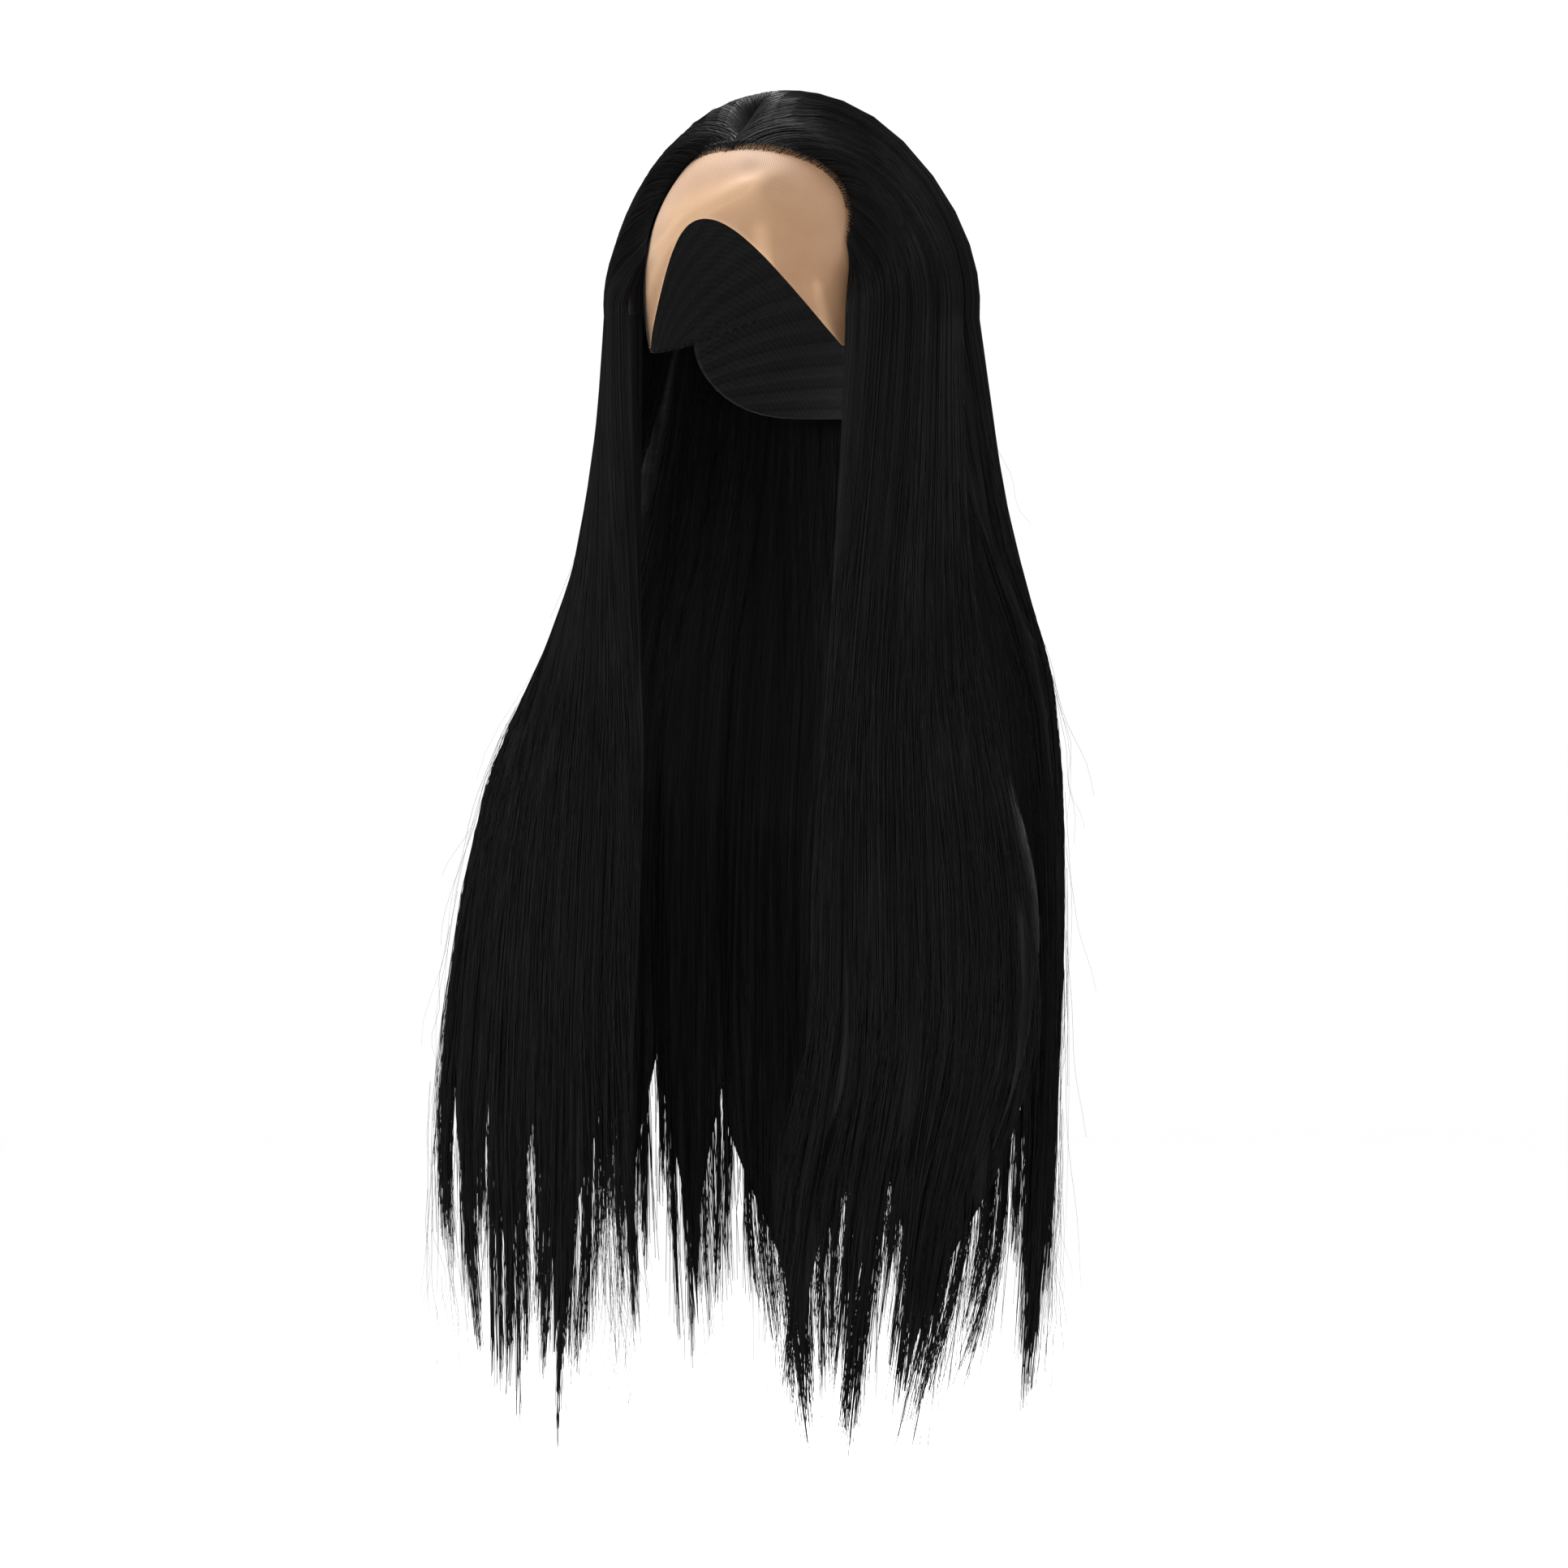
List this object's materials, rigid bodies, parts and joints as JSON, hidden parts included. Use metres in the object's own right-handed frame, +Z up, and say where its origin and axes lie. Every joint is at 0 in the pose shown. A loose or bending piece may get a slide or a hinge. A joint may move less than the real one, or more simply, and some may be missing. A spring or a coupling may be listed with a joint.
{
  "type": "lace front wig",
  "caption": "Long straight black wig on a cloth cap with a sheer lace front, drawn as it hangs when worn.",
  "frame": {"origin": "inside of the cap at the crown, where the top of the head bears, level with the middle of the head", "axes": "+Z up, -Y the way the wearer faces, +X the wearer's left"},
  "size_m": [0.3703, 0.2218, 0.7691],
  "materials": {
    "cap_cloth": "matte stretch net",
    "lace": "sheer matte net",
    "hair": "straight fibre with a soft sheen"
  },
  "bodies": {
    "root": {"cap": "cap_cloth", "lace_front": "lace", "crown_hair": "hair", "left_fall": "hair", "right_fall": "hair", "back_fall": "hair"}
  },
  "joints": []
}
